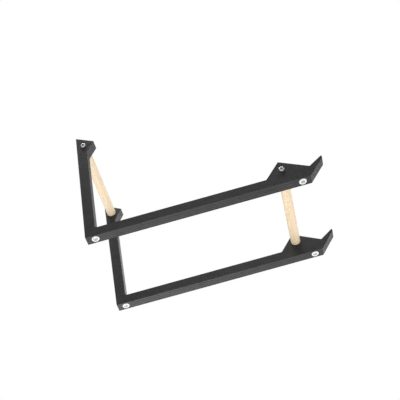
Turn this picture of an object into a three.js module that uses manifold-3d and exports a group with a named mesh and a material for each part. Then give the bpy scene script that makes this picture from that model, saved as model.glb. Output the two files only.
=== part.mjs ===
// A laptop stand: two flat side frames, joined by two round cross dowels, on four small feet.
// Millimetres, +Z up. The hooks point to the front, which is -Y, and the feet stand on z = 0.
import * as THREE from "three";
import { mergeVertices } from "three/addons/utils/BufferGeometryUtils.js";
import Module from "manifold-3d";

const wasm = await Module();
wasm.setup();

// Side frames: reaches are measured forwards from the rear edge, heights up from the rail's underside.
const boardThickness = 10;
const frameSpacing = 106.5; // middle of one board to middle of the other
const railLength = 221.3;
const railHeight = 10.3;
const armWidth = 10.5;
const armHeight = 151.4;
const headReach = 19.2; // the arm's widened top, along the rest line
const headDepth = 26.7; // from the arm's top down to where the widening ends
const notchOverhang = 2.4; // how far the notch lies in front of the rail's end
const notchHeight = 13.1;
const blockTopLength = 27.3; // rest surface between the block's rear corner and the notch, level
const blockRearSlope = 16; // how far the block's foot lies behind its rear corner, level
const hookReach = 14.4;
const hookRise = 10.4;
const hookTipWidth = 4; // the flat at the hook's end
const outerRadius = 0.6; // eased corners of the outline
const innerRadius = 2; // cutter radius left in the inside corners

// Cross dowels, and how they are held.
const dowelDiameter = 10;
const dowelCover = 4; // board left between a dowel and the rest line
const rearDowelReach = 7.4;
const frontDowelBehindNotch = 26.1;
const insertDiameter = 5;
const insertLength = 8;
const boltDiameter = 3;
const threadEngagement = 6; // bolt inside the insert
const boltHeadDiameter = 5.7;
const boltHeadHeight = 1.65;
const hexKey = 2; // across flats
const hexDepth = 1.1;

// Feet, sunk a little way into the rail and held by one small screw each.
const rearFootInset = 9; // middle of a foot from the rail's end
const frontFootInset = 8.2;
const footDiameter = 7.4;
const footSeatDiameter = 8; // leaves a shadow gap round the foot
const footThickness = 2.2;
const footSunk = 1.9;
const footChamfer = 0.4;
const footRecessDiameter = 4.4;
const footRecessDepth = 1.2;
const footScrewDiameter = 2.2;
const footScrewLength = 6.5;
const footScrewHeadDiameter = 3.8;
const footScrewHeadHeight = 0.9;
const crossSlotWidth = 0.6;
const crossSlotLength = 2.2;
const crossSlotDepth = 0.5;

const clearance = 0.1; // between pieces that touch
const boltHoleClearance = 0.2; // all round a bolt where it passes through a board
const roundSides = 40;
const smallRoundSides = 24;

// Places worked out from the sizes above.
const footProud = footThickness - footSunk;
const boltLength = boardThickness + threadEngagement;
const footScrewTip = footRecessDepth + footScrewLength; // above the desk
const notchReach = railLength + notchOverhang;
const restSlope = (armHeight - notchHeight) / notchReach;
const restHeight = (reach) => armHeight - reach * restSlope;
const depth = notchReach + hookReach;
const dowelDrop = (dowelDiameter / 2 + dowelCover) * Math.hypot(1, restSlope);
const dowelPlace = (reach) => [reach, restHeight(reach) - dowelDrop];
const dowels = { rear: dowelPlace(rearDowelReach), front: dowelPlace(notchReach - frontDowelBehindNotch) };
const feet = { rear: rearFootInset, front: railLength - frontFootInset };
const sides = { left: -1, right: 1 };
const innerFace = (frameSpacing - boardThickness) / 2;
const outerFace = (frameSpacing + boardThickness) / 2;

// A point of the stand from its place across, its reach and its height above the rail's underside.
const place = (x, reach, height) => new THREE.Vector3(x, depth / 2 - reach, height + footProud);

const paint = { color: 0x2b2b2c, roughness: 0.6, metalness: 0 };
const beech = { color: 0xe6cfa4, roughness: 0.6, metalness: 0 };
const brass = { color: 0xb8923e, roughness: 0.35, metalness: 1 };
const zinc = { color: 0xb4b6b8, roughness: 0.35, metalness: 1 };
const rubber = { color: 0xe9e8e4, roughness: 0.7, metalness: 0 };

function mesh(name, geometry, finish) {
  const made = new THREE.Mesh(geometry, new THREE.MeshStandardMaterial(finish));
  made.name = name;
  return made;
}

// Booleans: a three.js geometry as a manifold solid, and back again.
function solid(geometry) {
  const bare = geometry.clone();
  bare.deleteAttribute("normal");
  bare.deleteAttribute("uv");
  const merged = mergeVertices(bare, 1e-4);
  const vertProperties = merged.attributes.position.array;
  const triVerts = new Uint32Array(merged.index.array);
  return new wasm.Manifold(new wasm.Mesh({ numProp: 3, vertProperties, triVerts }));
}

function geometryOf(manifold) {
  const { vertProperties, triVerts } = manifold.getMesh();
  const geometry = new THREE.BufferGeometry();
  geometry.setAttribute("position", new THREE.BufferAttribute(vertProperties, 3));
  geometry.setIndex(new THREE.BufferAttribute(triVerts, 1));
  geometry.computeVertexNormals();
  return geometry;
}

// A cylinder along X or Z, from one end to the other.
function rodAlongX(diameter, from, to, sidesRound = smallRoundSides) {
  const rod = new THREE.CylinderGeometry(diameter / 2, diameter / 2, to - from, sidesRound);
  return rod.rotateZ(-Math.PI / 2).translate((from + to) / 2, 0, 0);
}

function rodAlongZ(diameter, from, to, sidesRound = smallRoundSides) {
  const rod = new THREE.CylinderGeometry(diameter / 2, diameter / 2, to - from, sidesRound);
  return rod.rotateX(Math.PI / 2).translate(0, 0, (from + to) / 2);
}

// A closed outline through corners of [reach, height, radius], each rounded by an arc.
function roundedOutline(corners) {
  const outline = new THREE.Shape();
  corners.forEach(([reach, height, radius], i) => {
    const corner = new THREE.Vector2(reach, height);
    const before = new THREE.Vector2(...corners.at(i - 1)).sub(corner).normalize();
    const after = new THREE.Vector2(...corners[(i + 1) % corners.length]).sub(corner).normalize();
    const half = Math.acos(before.dot(after)) / 2;
    const start = corner.clone().addScaledVector(before, radius / Math.tan(half));
    const middle = before.clone().add(after).setLength(radius / Math.sin(half)).add(corner);
    const turn = before.cross(after);
    const sweep = (Math.PI - 2 * half) * -Math.sign(turn);
    const startAngle = start.clone().sub(middle).angle();
    if (i === 0) outline.moveTo(start.x, start.y);
    else outline.lineTo(start.x, start.y);
    outline.absarc(middle.x, middle.y, radius, startAngle, startAngle + sweep, sweep < 0);
  });
  outline.closePath();
  return outline;
}

function frameOutline() {
  const blockRear = notchReach - blockTopLength;
  const hookTip = [notchReach + hookReach, notchHeight + hookRise];
  const hookEdge = Math.atan2(hookTip[1], hookTip[0] - railLength);
  return roundedOutline([
    [0, 0, outerRadius],
    [railLength, 0, outerRadius],
    [hookTip[0], hookTip[1] - hookTipWidth * Math.sin(hookEdge), outerRadius],
    [...hookTip, outerRadius],
    [notchReach, notchHeight, outerRadius],
    [blockRear, restHeight(blockRear), outerRadius],
    [blockRear - blockRearSlope, railHeight, innerRadius],
    [armWidth, railHeight, innerRadius],
    [armWidth, armHeight - headDepth, innerRadius],
    [headReach, restHeight(headReach), outerRadius],
    [0, armHeight, outerRadius],
  ]);
}

// One side frame: the board, drilled for its bolts and sunk for its feet.
function sideFrame(side) {
  const outline = frameOutline();
  for (const [reach, height] of Object.values(dowels)) {
    const hole = new THREE.Path();
    hole.absarc(reach, height, boltDiameter / 2 + boltHoleClearance, 0, 2 * Math.PI, true);
    outline.holes.push(hole);
  }
  const board = new THREE.ExtrudeGeometry(outline, {
    depth: boardThickness,
    bevelEnabled: false,
    curveSegments: 6,
  });
  board.rotateX(Math.PI / 2).rotateZ(-Math.PI / 2);
  board.translate((side * frameSpacing + boardThickness) / 2, depth / 2, footProud);
  let made = solid(board);
  for (const reach of Object.values(feet)) {
    const at = place((side * frameSpacing) / 2, reach, 0);
    const seat = rodAlongZ(footSeatDiameter, -1, footSunk + clearance, roundSides);
    const pilot = rodAlongZ(footScrewDiameter + 2 * clearance, -1, footScrewTip - footProud + clearance);
    made = made.subtract(solid(seat).add(solid(pilot)).translate(at.x, at.y, at.z));
  }
  return mesh(side < 0 ? "left_side_frame" : "right_side_frame", geometryOf(made), paint);
}

// One cross dowel, bored at each end for its threaded insert.
function dowel(name, [reach, height]) {
  const end = innerFace - clearance;
  const boreDepth = insertLength + 3 * clearance;
  let made = solid(rodAlongX(dowelDiameter, -end, end, roundSides));
  for (const side of Object.values(sides)) {
    const bore = solid(rodAlongX(insertDiameter + 2 * clearance, end - boreDepth, end + 1));
    made = made.subtract(side < 0 ? bore.mirror([1, 0, 0]) : bore);
  }
  const piece = mesh(name + "_cross_dowel", geometryOf(made), beech);
  piece.position.copy(place(0, reach, height));
  return piece;
}

// A threaded insert, from x = 0 at its mouth into the dowel along -X.
function insert(name) {
  const bore = boltDiameter / 2 + clearance;
  const rim = insertDiameter / 2;
  const profile = [
    [bore, 0],
    [rim, 0],
    [rim, insertLength],
    [bore, insertLength],
    [bore, 0],
  ].map(([radius, along]) => new THREE.Vector2(radius, along));
  const tube = new THREE.LatheGeometry(profile, smallRoundSides).rotateZ(Math.PI / 2);
  return mesh(name + "_threaded_insert", tube, brass);
}

// A button-head bolt, its head's underside at x = 0 and its shank along -X.
function bolt(name) {
  const headRadius = boltHeadDiameter / 2;
  const crown = headRadius * 0.62; // radius of the flat around the socket
  const domeSteps = 5;
  const profile = [new THREE.Vector2(0, -boltLength), new THREE.Vector2(boltDiameter / 2, -boltLength)];
  profile.push(new THREE.Vector2(boltDiameter / 2, 0), new THREE.Vector2(headRadius, 0));
  for (let i = 1; i <= domeSteps; i++) {
    const turn = (i / domeSteps) * (Math.PI / 2);
    const radius = crown + (headRadius - crown) * Math.cos(turn);
    profile.push(new THREE.Vector2(radius, boltHeadHeight * Math.sin(turn)));
  }
  profile.push(new THREE.Vector2(0, boltHeadHeight));
  const turned = new THREE.LatheGeometry(profile, smallRoundSides);
  const socketRadius = hexKey / Math.sqrt(3);
  const socket = new THREE.CylinderGeometry(socketRadius, socketRadius, 2 * hexDepth, 6);
  socket.translate(0, boltHeadHeight, 0);
  const geometry = geometryOf(solid(turned).subtract(solid(socket)));
  return mesh(name + "_bolt", geometry.rotateZ(-Math.PI / 2), zinc);
}

// A round foot with a hollow for its screw's head, standing on z = 0.
function foot(name) {
  const rim = footDiameter / 2;
  const hollow = footRecessDiameter / 2;
  const hole = footScrewDiameter / 2 + clearance;
  const profile = [
    [hollow, 0],
    [rim - footChamfer, 0],
    [rim, footChamfer],
    [rim, footThickness],
    [hole, footThickness],
    [hole, footRecessDepth],
    [hollow, footRecessDepth],
    [hollow, 0],
  ].map(([radius, along]) => new THREE.Vector2(radius, along));
  const turned = new THREE.LatheGeometry(profile, roundSides);
  return mesh(name + "_foot", turned.rotateX(Math.PI / 2), rubber);
}

// A foot's pan-head screw, pointing up, with its head in the foot's hollow.
function footScrew(name) {
  const headTop = footRecessDepth - clearance;
  const headBottom = headTop - footScrewHeadHeight;
  const taper = 2 * footScrewDiameter;
  const profile = [
    [0, headBottom],
    [footScrewHeadDiameter * 0.36, headBottom],
    [footScrewHeadDiameter / 2, headBottom + footScrewHeadHeight * 0.6],
    [footScrewHeadDiameter / 2, headTop],
    [footScrewDiameter / 2, headTop],
    [footScrewDiameter / 2, footScrewTip - taper],
    [0, footScrewTip],
  ].map(([radius, along]) => new THREE.Vector2(radius, along));
  let made = solid(new THREE.LatheGeometry(profile, smallRoundSides).rotateX(Math.PI / 2));
  for (const turn of [0, Math.PI / 2]) {
    const slot = new THREE.BoxGeometry(crossSlotLength, crossSlotWidth, 2 * crossSlotDepth);
    made = made.subtract(solid(slot.rotateZ(turn).translate(0, 0, headBottom)));
  }
  return mesh(name + "_foot_screw", geometryOf(made), zinc);
}

const stand = new THREE.Group();
for (const side of Object.values(sides)) stand.add(sideFrame(side));
for (const [end, at] of Object.entries(dowels)) stand.add(dowel(end, at));

for (const [sideName, side] of Object.entries(sides)) {
  for (const [end, [reach, height]] of Object.entries(dowels)) {
    const joint = new THREE.Group();
    joint.position.copy(place(0, reach, height));
    joint.rotation.z = side < 0 ? Math.PI : 0;
    const threads = insert(`${end}_${sideName}`);
    threads.position.x = innerFace - 2 * clearance;
    const fastener = bolt(`${end}_${sideName}`);
    fastener.position.x = outerFace + clearance;
    joint.add(threads, fastener);
    stand.add(joint);
  }
  for (const [end, reach] of Object.entries(feet)) {
    const corner = new THREE.Group();
    corner.position.copy(place((side * frameSpacing) / 2, reach, -footProud));
    corner.add(foot(`${end}_${sideName}`), footScrew(`${end}_${sideName}`));
    stand.add(corner);
  }
}

export default stand;
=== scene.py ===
"""A laptop stand: two black side frames joined by two beech dowels, on four small white feet.

Metres, +Z up, and the hooks point to the front, which is -Y. Materials are laid out in millimetres.
"""

import math

import bmesh
import bpy
from mathutils import Matrix, Vector


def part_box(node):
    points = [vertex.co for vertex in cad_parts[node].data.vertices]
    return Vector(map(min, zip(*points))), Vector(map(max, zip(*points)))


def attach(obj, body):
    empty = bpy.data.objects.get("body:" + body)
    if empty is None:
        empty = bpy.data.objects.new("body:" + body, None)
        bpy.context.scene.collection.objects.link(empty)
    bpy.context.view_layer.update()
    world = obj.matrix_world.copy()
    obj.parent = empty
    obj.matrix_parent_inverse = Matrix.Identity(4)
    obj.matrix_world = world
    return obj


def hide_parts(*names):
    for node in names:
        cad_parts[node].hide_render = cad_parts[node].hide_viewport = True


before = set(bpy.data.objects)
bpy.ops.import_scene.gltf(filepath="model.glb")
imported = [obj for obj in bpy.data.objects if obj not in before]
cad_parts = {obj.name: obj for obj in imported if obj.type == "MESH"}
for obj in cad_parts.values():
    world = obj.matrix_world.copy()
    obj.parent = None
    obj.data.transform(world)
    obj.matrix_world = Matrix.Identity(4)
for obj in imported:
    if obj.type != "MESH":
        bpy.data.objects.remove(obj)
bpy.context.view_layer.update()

MM = 0.001
ENDS = ("rear", "front")
SIDES = {"left": -1, "right": 1}

NOISE_LOW = 0.3  # most of a noise texture's values lie between these two
NOISE_HIGH = 0.7
WAVE_SPACING = 1 / 3.18  # units between the waves of a wave texture of scale 1

# Button-head bolts. Lengths along a bolt start at its head's underside.
SHANK_RADIUS = 1.5 * MM
TIP_TAPER = 0.35 * MM
SEAT_GAP = 0.1 * MM  # between the board and the head
HEAD_EDGE = 0.12 * MM  # eased edge under the dome
CROWN_SHARE = 0.64  # radius of the flat crown, as a share of the head's
DOME_STEPS = 8
HEX_KEY = 2.0 * MM  # across the socket's flats
HEX_DEPTH = 1.1 * MM
HEX_LEAD_IN = 0.1 * MM  # depth of the bevel round the socket's mouth
HEX_MOUTH = HEX_KEY + 0.24 * MM
DRILL_POINT = 0.25 * MM  # cone that the drill leaves in the socket's floor
# Top of the painted shade inside each bolt's socket, measured along the bolt.
SOCKET_SHADE_TOP = 1.45  # millimetres along the bolt
KEY_TURN = {"rear": 11, "front": 40}  # degrees that each bolt's socket came to rest at


# Colours and nodes.

def linear(hex_colour):
    """A colour written as sRGB hex, as the linear RGBA that shaders take."""
    shares = [int(hex_colour[i : i + 2], 16) / 255 for i in (0, 2, 4)]
    return [s / 12.92 if s <= 0.04045 else ((s + 0.055) / 1.055) ** 2.4 for s in shares] + [1.0]


def add(tree, kind, inputs=None, **settings):
    """Adds one node with its settings. Its inputs are values, or sockets to link from, given by the socket's
    name, or by its number where names repeat: a colour mix has its colours at 6 and 7, its result at 2."""
    node = tree.nodes.new(kind)
    for name, value in settings.items():
        setattr(node, name, value)
    for socket, value in (inputs or {}).items():
        if isinstance(value, bpy.types.NodeSocket):
            tree.links.new(value, node.inputs[socket])
        else:
            node.inputs[socket].default_value = value
    return node


def start_finish(name, shader):
    """A material with one shader. Returns it with its tree, its shader, and the place on the piece in
    millimetres."""
    material = bpy.data.materials.new(name)
    material.use_nodes = True
    tree = material.node_tree
    tree.nodes.clear()
    surface = add(tree, "ShaderNodeBsdfPrincipled", shader)
    add(tree, "ShaderNodeOutputMaterial", {"Surface": surface.outputs[0]})
    place = add(tree, "ShaderNodeTexCoord")
    mm = add(
        tree,
        "ShaderNodeVectorMath",
        {0: place.outputs["Object"], "Scale": 1 / MM},
        operation="SCALE",
    )
    return material, tree, surface, mm.outputs[0]


# Finishes.

def black_lacquer():
    """Birch plywood sprayed with matt black lacquer: nearly black with a soft sheen. The veneer's grain just
    shows through the film, the plies are faint lines along the cut edges, and handling has rubbed the
    corners."""
    grain_width = 1.4  # ten times birch's own, so that it shows
    grain_length = 26  # along the rail
    patch = 12  # where the coat is a little thicker or thinner
    bead = 0.6  # the spray's droplets
    touch = 7  # where hands rub a corner
    inner_face, outer_face = (corner.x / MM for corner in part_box("right_side_frame"))
    ply = (outer_face - inner_face) / 7  # seven plies in a board
    ply_wander = 0.8  # how far a ply strays from flat
    end_grain_thins = 0.35  # the film's share lost over fibres cut across
    end_grain_dulls = 0.06
    material, tree, surface, mm = start_finish(
        "black lacquer on birch plywood", {"IOR": 1.46, "Specular IOR Level": 0.42}
    )

    stretch = add(
        tree,
        "ShaderNodeMapping",
        {"Vector": mm, "Scale": (1 / grain_width, 1 / grain_length, 1 / grain_width)},
    )
    grain = add(
        tree,
        "ShaderNodeTexNoise",
        {"Vector": stretch.outputs[0], "Scale": 1.0, "Detail": 3.0},
    )
    patches = add(tree, "ShaderNodeTexNoise", {"Vector": mm, "Scale": 1 / patch, "Detail": 3.0})
    spray = add(tree, "ShaderNodeTexNoise", {"Vector": mm, "Scale": 1 / bead, "Detail": 1.0})
    touches = add(tree, "ShaderNodeTexNoise", {"Vector": mm, "Scale": 1 / touch, "Detail": 4.0})

    # How far the surface faces along X tells the board's faces, cut edges and eased corners apart.
    facing = add(tree, "ShaderNodeNewGeometry")
    turned = add(tree, "ShaderNodeSeparateXYZ", {0: facing.outputs["Normal"]})
    face = add(
        tree,
        "ShaderNodeMath",
        {0: turned.outputs[0], 1: turned.outputs[0]},
        operation="MULTIPLY",
    )
    edge = add(tree, "ShaderNodeMath", {0: 1.0, 1: face.outputs[0]}, operation="SUBTRACT")
    corner = add(
        tree,
        "ShaderNodeMath",
        {0: face.outputs[0], 1: edge.outputs[0]},
        operation="MULTIPLY",
    )

    # Plies, counted from the board's inner face, a little wavy. Every second one has its fibres end on.
    at = add(tree, "ShaderNodeSeparateXYZ", {0: mm})
    across = add(tree, "ShaderNodeMath", {0: at.outputs[0]}, operation="ABSOLUTE")
    into = add(tree, "ShaderNodeMath", {0: across.outputs[0], 1: inner_face}, operation="SUBTRACT")
    wavy = add(
        tree,
        "ShaderNodeMath",
        {0: patches.outputs[0], 1: ply_wander, 2: into.outputs[0]},
        operation="MULTIPLY_ADD",
    )
    turns = add(tree, "ShaderNodeMath", {0: wavy.outputs[0], 1: math.pi / ply}, operation="MULTIPLY")
    plies = add(tree, "ShaderNodeMath", {0: turns.outputs[0]}, operation="SINE")
    layer = add(
        tree,
        "ShaderNodeMath",
        {0: plies.outputs[0], 1: edge.outputs[0]},
        operation="MULTIPLY",
    )

    # Colour: a black film, thinner over raised grain and end-on fibres, worn to brown grey at the corners.
    coat = add(
        tree,
        "ShaderNodeMapRange",
        {
            "Value": patches.outputs[0],
            "From Min": NOISE_LOW,
            "From Max": NOISE_HIGH,
            "To Min": 0.2,
            "To Max": 0.8,
        },
    )
    raised = add(
        tree,
        "ShaderNodeMapRange",
        {
            "Value": grain.outputs[0],
            "From Min": NOISE_LOW,
            "From Max": NOISE_HIGH,
            "To Min": -0.4,
            "To Max": 0.4,
        },
        clamp=False,
    )
    uneven = add(
        tree,
        "ShaderNodeMath",
        {0: coat.outputs[0], 1: raised.outputs[0]},
        operation="ADD",
    )
    thin = add(
        tree,
        "ShaderNodeMath",
        {0: layer.outputs[0], 1: end_grain_thins, 2: uneven.outputs[0]},
        operation="MULTIPLY_ADD",
    )
    film = add(
        tree,
        "ShaderNodeMix",
        {0: thin.outputs[0], 6: linear("19191a"), 7: linear("2b2b2c")},
        data_type="RGBA",
    )
    touched = add(
        tree,
        "ShaderNodeMapRange",
        {
            "Value": touches.outputs[0],
            "From Min": 0.48,
            "From Max": NOISE_HIGH,
            "To Min": 0.0,
            "To Max": 2.0,
        },
    )
    rubbed = add(
        tree,
        "ShaderNodeMath",
        {0: touched.outputs[0], 1: corner.outputs[0]},
        operation="MULTIPLY",
    )
    colour = add(
        tree,
        "ShaderNodeMix",
        {0: rubbed.outputs[0], 6: film.outputs[2], 7: linear("5a5148")},
        data_type="RGBA",
    )
    tree.links.new(colour.outputs[2], surface.inputs["Base Color"])

    matt = add(
        tree,
        "ShaderNodeMapRange",
        {
            "Value": grain.outputs[0],
            "From Min": NOISE_LOW,
            "From Max": NOISE_HIGH,
            "To Min": 0.46,
            "To Max": 0.64,
        },
    )
    dull = add(
        tree,
        "ShaderNodeMath",
        {0: layer.outputs[0], 1: end_grain_dulls, 2: matt.outputs[0]},
        operation="MULTIPLY_ADD",
    )
    tree.links.new(dull.outputs[0], surface.inputs["Roughness"])

    veins = add(tree, "ShaderNodeBump", {"Height": grain.outputs[0], "Distance": 0.06 * MM})
    lines = add(
        tree,
        "ShaderNodeBump",
        {"Height": layer.outputs[0], "Distance": 0.03 * MM, "Normal": veins.outputs[0]},
    )
    beads = add(
        tree,
        "ShaderNodeBump",
        {"Height": spray.outputs[0], "Distance": 0.012 * MM, "Normal": lines.outputs[0]},
    )
    tree.links.new(beads.outputs[0], surface.inputs["Normal"])
    return material


def beech():
    """Turned beech, sanded and left pale: cream with fine straight grain along the rod, growth rings as
    soft bands, and the short darker flecks of beech's rays."""
    ring_width = 2
    ring_length = 60  # how slowly a band wanders along the rod
    fibre_width = 0.3  # three times beech's own, so that it shows
    fibre_length = 9
    fleck_width = 0.4
    fleck_length = 2.8
    material, tree, surface, mm = start_finish("turned beech", {"IOR": 1.5})

    slow = add(
        tree,
        "ShaderNodeMapping",
        {"Vector": mm, "Scale": (1 / ring_length, 1 / ring_width, 1 / ring_width)},
    )
    rings = add(tree, "ShaderNodeTexNoise", {"Vector": slow.outputs[0], "Scale": 1.0, "Detail": 3.0})
    band = add(
        tree,
        "ShaderNodeMapRange",
        {"Value": rings.outputs[0], "From Min": 0.35, "From Max": 0.65},
    )
    fine = add(
        tree,
        "ShaderNodeMapping",
        {"Vector": mm, "Scale": (1 / fibre_length, 1 / fibre_width, 1 / fibre_width)},
    )
    fibres = add(tree, "ShaderNodeTexNoise", {"Vector": fine.outputs[0], "Scale": 1.0, "Detail": 2.0})
    fibre = add(
        tree,
        "ShaderNodeMapRange",
        {
            "Value": fibres.outputs[0],
            "From Min": NOISE_LOW,
            "From Max": NOISE_HIGH,
            "To Min": 0.0,
            "To Max": 0.35,
        },
    )
    dashes = add(
        tree,
        "ShaderNodeMapping",
        {"Vector": mm, "Scale": (1 / fleck_length, 1 / fleck_width, 1 / fleck_width)},
    )
    flecks = add(tree, "ShaderNodeTexNoise", {"Vector": dashes.outputs[0], "Scale": 1.0, "Detail": 0.0})
    fleck = add(
        tree,
        "ShaderNodeMapRange",
        {
            "Value": flecks.outputs[0],
            "From Min": 0.66,
            "From Max": 0.76,
            "To Min": 0.0,
            "To Max": 0.6,
        },
    )

    banded = add(
        tree,
        "ShaderNodeMix",
        {0: band.outputs[0], 6: linear("e5d5bb"), 7: linear("dbc5a4")},
        data_type="RGBA",
    )
    lined = add(
        tree,
        "ShaderNodeMix",
        {0: fibre.outputs[0], 6: banded.outputs[2], 7: linear("ceb18c")},
        data_type="RGBA",
    )
    flecked = add(
        tree,
        "ShaderNodeMix",
        {0: fleck.outputs[0], 6: lined.outputs[2], 7: linear("b08c5f")},
        data_type="RGBA",
    )
    tree.links.new(flecked.outputs[2], surface.inputs["Base Color"])

    dull = add(
        tree,
        "ShaderNodeMapRange",
        {
            "Value": fibres.outputs[0],
            "From Min": NOISE_LOW,
            "From Max": NOISE_HIGH,
            "To Min": 0.5,
            "To Max": 0.64,
        },
    )
    tree.links.new(dull.outputs[0], surface.inputs["Roughness"])
    relief = add(tree, "ShaderNodeBump", {"Height": fibres.outputs[0], "Distance": 0.02 * MM})
    tree.links.new(relief.outputs[0], surface.inputs["Normal"])
    return material


def zinc_plate(name, painted_shade_below=None):
    """Zinc-plated steel: cool grey metal, its plating slightly cloudy and faintly lumpy. A bolt also has fine
    rings from turning its head, and its socket is painted nearly black below a height along the bolt: painted
    shade standing in for the shade inside the recess."""
    cloud = 1.5
    ring_spacing = 0.25  # wider than a lathe's own, so that the rings show
    socket_reach = 1.3  # from the bolt's middle to just past the socket's corners
    socket_shade_fade = 0.3
    material, tree, surface, mm = start_finish(name, {"Metallic": 1.0})
    clouds = add(tree, "ShaderNodeTexNoise", {"Vector": mm, "Scale": 1 / cloud, "Detail": 3.0})
    plated = add(
        tree,
        "ShaderNodeMix",
        {0: clouds.outputs[0], 6: linear("babcbf"), 7: linear("cfd0d2")},
        data_type="RGBA",
    )
    haze = add(
        tree,
        "ShaderNodeMapRange",
        {
            "Value": clouds.outputs[0],
            "From Min": NOISE_LOW,
            "From Max": NOISE_HIGH,
            "To Min": 0.38,
            "To Max": 0.52,
        },
    )
    lumps = add(tree, "ShaderNodeBump", {"Height": clouds.outputs[0], "Distance": 0.01 * MM})
    colour = plated.outputs[2]
    relief = lumps.outputs[0]
    if painted_shade_below is not None:
        # Painted shade: inside the socket, below a height along the bolt, the colour turns nearly black to
        # stand in for the shade of the recess.
        at = add(tree, "ShaderNodeSeparateXYZ", {0: mm})
        deep = add(
            tree,
            "ShaderNodeMapRange",
            {"Value": at.outputs[0], "From Min": painted_shade_below, "From Max": painted_shade_below - socket_shade_fade},
        )
        aside = add(tree, "ShaderNodeVectorMath", {0: mm, 1: (0.0, 1.0, 1.0)}, operation="MULTIPLY")
        radius = add(tree, "ShaderNodeVectorMath", {0: aside.outputs[0]}, operation="LENGTH")
        inside = add(
            tree,
            "ShaderNodeMath",
            {0: radius.outputs["Value"], 1: socket_reach},
            operation="LESS_THAN",
        )
        socket_shade = add(
            tree,
            "ShaderNodeMath",
            {0: deep.outputs[0], 1: inside.outputs[0]},
            operation="MULTIPLY",
        )
        shaded_socket = add(
            tree,
            "ShaderNodeMix",
            {0: socket_shade.outputs[0], 6: colour, 7: linear("3a3835")},
            data_type="RGBA",
        )
        colour = shaded_socket.outputs[2]
        rings = add(
            tree,
            "ShaderNodeTexWave",
            {"Vector": mm, "Scale": WAVE_SPACING / ring_spacing, "Distortion": 0.2},
            wave_type="RINGS",
            rings_direction="X",
        )
        turned = add(
            tree,
            "ShaderNodeBump",
            {"Height": rings.outputs[0], "Distance": 0.004 * MM, "Normal": relief},
        )
        relief = turned.outputs[0]
    tree.links.new(colour, surface.inputs["Base Color"])
    tree.links.new(haze.outputs[0], surface.inputs["Roughness"])
    tree.links.new(relief, surface.inputs["Normal"])
    return material


def brass():
    """Free-cutting brass, knurled outside: yellow metal with bright ridges, tarnished in patches."""
    stain_size = 2
    knurl_spacing = 0.6
    material, tree, surface, mm = start_finish("knurled brass", {"Metallic": 1.0})
    stain = add(tree, "ShaderNodeTexNoise", {"Vector": mm, "Scale": 1 / stain_size, "Detail": 3.0})
    tarnished = add(
        tree,
        "ShaderNodeMix",
        {0: stain.outputs[0], 6: linear("b18a3c"), 7: linear("d0ad5c")},
        data_type="RGBA",
    )
    tree.links.new(tarnished.outputs[2], surface.inputs["Base Color"])
    haze = add(
        tree,
        "ShaderNodeMapRange",
        {
            "Value": stain.outputs[0],
            "From Min": NOISE_LOW,
            "From Max": NOISE_HIGH,
            "To Min": 0.22,
            "To Max": 0.38,
        },
    )
    tree.links.new(haze.outputs[0], surface.inputs["Roughness"])
    knurl = add(
        tree,
        "ShaderNodeTexWave",
        {"Vector": mm, "Scale": WAVE_SPACING / knurl_spacing},
        bands_direction="DIAGONAL",
    )
    ridges = add(tree, "ShaderNodeBump", {"Height": knurl.outputs[0], "Distance": 0.06 * MM})
    tree.links.new(ridges.outputs[0], surface.inputs["Normal"])
    return material


def white_rubber():
    """Moulded white rubber: a soft off-white, very finely textured by its mould, faintly greyed by use."""
    smudge = 3
    pit = 0.35  # coarser than the mould's own texture, so that it shows
    material, tree, surface, mm = start_finish("moulded white rubber", {"IOR": 1.5})
    use = add(tree, "ShaderNodeTexNoise", {"Vector": mm, "Scale": 1 / smudge, "Detail": 4.0})
    greyed = add(
        tree,
        "ShaderNodeMapRange",
        {
            "Value": use.outputs[0],
            "From Min": 0.45,
            "From Max": 0.75,
            "To Min": 0.0,
            "To Max": 0.6,
        },
    )
    colour = add(
        tree,
        "ShaderNodeMix",
        {0: greyed.outputs[0], 6: linear("e2e1de"), 7: linear("cbc9c4")},
        data_type="RGBA",
    )
    tree.links.new(colour.outputs[2], surface.inputs["Base Color"])
    dull = add(
        tree,
        "ShaderNodeMapRange",
        {
            "Value": use.outputs[0],
            "From Min": NOISE_LOW,
            "From Max": NOISE_HIGH,
            "To Min": 0.5,
            "To Max": 0.66,
        },
    )
    tree.links.new(dull.outputs[0], surface.inputs["Roughness"])
    pits = add(tree, "ShaderNodeTexNoise", {"Vector": mm, "Scale": 1 / pit, "Detail": 1.0})
    skin = add(tree, "ShaderNodeBump", {"Height": pits.outputs[0], "Distance": 0.02 * MM})
    tree.links.new(skin.outputs[0], surface.inputs["Normal"])
    return material


def backdrop_paper():
    """Matt studio paper on a lit table: plain pale grey-white with a very faint mottle."""
    mottle_size = 40
    material, tree, surface, mm = start_finish(
        "studio paper",
        {"Roughness": 0.9, "Emission Color": linear("ffffff"), "Emission Strength": 0.35},
    )
    mottle = add(tree, "ShaderNodeTexNoise", {"Vector": mm, "Scale": 1 / mottle_size, "Detail": 2.0})
    colour = add(
        tree,
        "ShaderNodeMix",
        {0: mottle.outputs[0], 6: linear("eeeeee"), 7: linear("f3f3f3")},
        data_type="RGBA",
    )
    tree.links.new(colour.outputs[2], surface.inputs["Base Color"])
    return material


finishes = {
    "black_paint": black_lacquer(),
    "beech": beech(),
    "brass": brass(),
    "zinc_steel": zinc_plate("zinc plated steel"),
    "white_rubber": white_rubber(),
}
# The bolts' finish has painted shade inside their sockets.
bolt_finish = zinc_plate("zinc plated steel bolt", painted_shade_below=SOCKET_SHADE_TOP)


# CAD pieces that stay: eased edges, smooth round faces and their finish.

edge_radius = {
    "side_frame": 0.45 * MM,
    "cross_dowel": 1.0 * MM,
    "threaded_insert": 0.08 * MM,
    "foot": 0.15 * MM,
    "foot_screw": 0.06 * MM,
    "bolt": 0.06 * MM,
}

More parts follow.
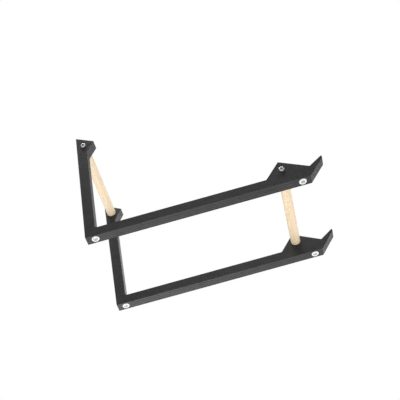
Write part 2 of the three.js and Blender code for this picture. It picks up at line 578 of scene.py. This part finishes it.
shade_smooth = bpy.data.node_groups.new("shade smooth", "GeometryNodeTree")
shade_smooth.interface.new_socket("Geometry", in_out="INPUT", socket_type="NodeSocketGeometry")
shade_smooth.interface.new_socket("Geometry", in_out="OUTPUT", socket_type="NodeSocketGeometry")
smooth_in = add(shade_smooth, "NodeGroupInput")
smoothed = add(shade_smooth, "GeometryNodeSetShadeSmooth", {"Geometry": smooth_in.outputs[0]})
add(shade_smooth, "NodeGroupOutput", {0: smoothed.outputs[0]})


def ease(piece, radius):
    """Rounds a piece's cut edges to a radius and shades it smoothly. Its mesh stays as it is: these are
    modifiers."""
    weld = piece.modifiers.new("weld", "WELD")
    weld.merge_threshold = 0.003 * MM
    flat = piece.modifiers.new("one face per flat", "DECIMATE")
    flat.decimate_type = "DISSOLVE"
    flat.angle_limit = math.radians(0.6)
    rounded = piece.modifiers.new("eased edges", "BEVEL")
    rounded.width = radius
    rounded.segments = 3
    rounded.limit_method = "ANGLE"
    rounded.angle_limit = math.radians(35)
    smooth = piece.modifiers.new("smooth", "NODES")
    smooth.node_group = shade_smooth
    even = piece.modifiers.new("flats stay flat", "WEIGHTED_NORMAL")
    even.weight = 80


for name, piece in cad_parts.items():
    kind = max((k for k in edge_radius if name.endswith(k)), key=len)
    ease(piece, edge_radius[kind])
    for place in piece.material_slots:
        place.material = finishes[place.material.name.split(".")[0]]


# Button-head bolts, with a hexagon socket.

def round_of(radius):
    """Radius of a circle at an angle: the same all round."""
    return lambda angle: radius


def hexagon_of(across_flats):
    """Radius of a hexagon at an angle, from its middle."""
    side = math.pi / 3
    return lambda angle: across_flats / 2 / math.cos((angle + side / 2) % side - side / 2)


def turned_piece(name, rings, tip, floor):
    """A closed mesh from rings of (place along X, radius at an angle), closed by a point at each end."""
    steps = 48
    build = bmesh.new()
    angles = [2 * math.pi * i / steps for i in range(steps)]
    loops = []
    for along, radius in rings:
        ring = [(along, radius(a) * math.cos(a), radius(a) * math.sin(a)) for a in angles]
        loops.append([build.verts.new(point) for point in ring])
    for before, after in zip(loops, loops[1:]):
        for i in range(steps):
            j = (i + 1) % steps
            build.faces.new((before[i], before[j], after[j], after[i]))
    for loop, along in ((loops[0], tip), (loops[-1], floor)):
        point = build.verts.new((along, 0, 0))
        for i in range(steps):
            build.faces.new((loop[i], loop[(i + 1) % steps], point))
    bmesh.ops.recalc_face_normals(build, faces=build.faces)
    for face in build.faces:
        face.smooth = True
    mesh = bpy.data.meshes.new(name)
    build.to_mesh(mesh)
    build.free()
    mesh.set_sharp_from_angle(angle=math.radians(32))
    made = bpy.data.objects.new(name, mesh)
    bpy.context.scene.collection.objects.link(made)
    return made


def bolt_rings(length, head_height, head_radius):
    """A button-head bolt's rings, from its tip out over its head and into its socket, and the place where
    the socket's floor comes to a point."""
    crown = head_radius * CROWN_SHARE
    socket_floor = head_height - HEX_DEPTH
    rings = [
        (-length, round_of(SHANK_RADIUS - TIP_TAPER)),
        (-length + TIP_TAPER, round_of(SHANK_RADIUS)),
        (0.0, round_of(SHANK_RADIUS)),
        (0.0, round_of(head_radius - HEAD_EDGE)),
        (HEAD_EDGE, round_of(head_radius)),
    ]
    for step in range(1, DOME_STEPS + 1):
        turn = step / DOME_STEPS * math.pi / 2
        along = HEAD_EDGE + (head_height - HEAD_EDGE) * math.sin(turn)
        rings.append((along, round_of(crown + (head_radius - crown) * math.cos(turn))))
    rings.append((head_height, hexagon_of(HEX_MOUTH)))
    rings.append((head_height - HEX_LEAD_IN, hexagon_of(HEX_KEY)))
    rings.append((socket_floor, hexagon_of(HEX_KEY)))
    return rings, socket_floor - DRILL_POINT


for end in ENDS:
    for side, sign in SIDES.items():
        node = f"{end}_{side}_bolt"
        low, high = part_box(node)
        inner_end, head_top = sorted((abs(low.x), abs(high.x)))
        seat = max(abs(corner.x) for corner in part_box(f"{side}_side_frame")) + SEAT_GAP
        length = seat - inner_end
        rings, socket_point = bolt_rings(length, head_top - seat, (high.z - low.z) / 2)
        made = turned_piece(f"{end}_{side}_button_bolt", rings, -length, socket_point)
        made.location = (sign * seat, (low.y + high.y) / 2, (low.z + high.z) / 2)
        made.rotation_euler = (math.radians(KEY_TURN[end]), 0, 0 if sign > 0 else math.pi)
        made.data.materials.append(bolt_finish)
        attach(made, "root")
        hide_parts(node)


# Studio: a floor well below, because the stand is seen from underneath, and a pale sweep behind it.

FLOOR_DROP = 1.3
FLOOR_REACH = 60.0  # from its middle to each side, far enough to meet the sweep

floor_mesh = bpy.data.meshes.new("studio_floor")
floor_build = bmesh.new()
bmesh.ops.create_grid(floor_build, x_segments=4, y_segments=4, size=FLOOR_REACH)
floor_build.to_mesh(floor_mesh)
floor_build.free()
floor = bpy.data.objects.new("studio_floor", floor_mesh)
floor.location = (0, 0, -FLOOR_DROP)
floor.data.materials.append(backdrop_paper())
bpy.context.scene.collection.objects.link(floor)

# The sweep goes from light grey at the horizon to white above. Only its even glow lights the stand.
world = bpy.data.worlds.new("studio")
world.use_nodes = True
sky = world.node_tree
sky.nodes.clear()
ray = add(sky, "ShaderNodeLightPath")
way = add(sky, "ShaderNodeTexCoord")
climb = add(sky, "ShaderNodeSeparateXYZ", {0: way.outputs["Generated"]})
fade = add(
    sky,
    "ShaderNodeMapRange",
    {"Value": climb.outputs[2], "From Min": 0.0, "From Max": 0.35},
    interpolation_type="SMOOTHSTEP",
)
paper = add(
    sky,
    "ShaderNodeMix",
    {0: fade.outputs[0], 6: linear("e3e3e3"), 7: linear("ffffff")},
    data_type="RGBA",
)
glow = add(sky, "ShaderNodeBackground", {"Color": linear("ffffff"), "Strength": 0.45})
sweep = add(sky, "ShaderNodeBackground", {"Color": paper.outputs[2], "Strength": 1.0})
seen = add(
    sky,
    "ShaderNodeMixShader",
    {0: ray.outputs["Is Camera Ray"], 1: glow.outputs[0], 2: sweep.outputs[0]},
)
add(sky, "ShaderNodeOutputWorld", {0: seen.outputs[0]})
bpy.context.scene.world = world
bpy.context.scene.view_settings.view_transform = "Standard"


def soft_light(name, place, watts, size=0.6, aim=(0, 0, 0.06)):
    """A square area light at a place, turned to face its aim."""
    lamp = bpy.data.lights.new(name, "AREA")
    lamp.size = size
    lamp.energy = watts
    made = bpy.data.objects.new(name, lamp)
    made.location = place
    made.rotation_euler = (Vector(aim) - Vector(place)).to_track_quat("-Z", "Y").to_euler()
    made.visible_camera = False
    bpy.context.scene.collection.objects.link(made)


# The top and the right are lit most, and the underside and the front are filled in from below.
soft_light("top_light", (0, 0, 0.91), 9.6)
soft_light("right_light", (0.85, 0, 0.06), 5.6)
soft_light("right_rear_light", (0.73, 0.37, -0.16), 5.0)
soft_light("right_front_light", (0.69, -0.35, 0.41), 3.1)
soft_light("low_rear_light", (0, 0.6, -0.54), 2.2)
soft_light("front_light", (0, -0.85, 0.06), 1.0)
soft_light("low_front_light", (0.11, -0.44, -0.2), 0.75, size=0.35, aim=(0, -0.1, 0.02))


# Camera: low on the left, looking up under the stand.

camera_data = bpy.data.cameras.new("camera")
camera_data.lens = 72.11
camera_data.sensor_width = 36
camera = bpy.data.objects.new("camera", camera_data)
camera_place = Vector((-0.5877, -0.01455, -0.5392))
forward = Vector((0.6948, 0.0250, 0.7187)).normalized()
right = forward.cross(Vector((-0.6881, -0.2674, 0.6745))).normalized()
up = right.cross(forward)
turned_to = Matrix((right, up, -forward)).transposed().to_4x4()
camera.matrix_world = Matrix.Translation(camera_place) @ turned_to
bpy.context.scene.collection.objects.link(camera)
bpy.context.scene.camera = camera
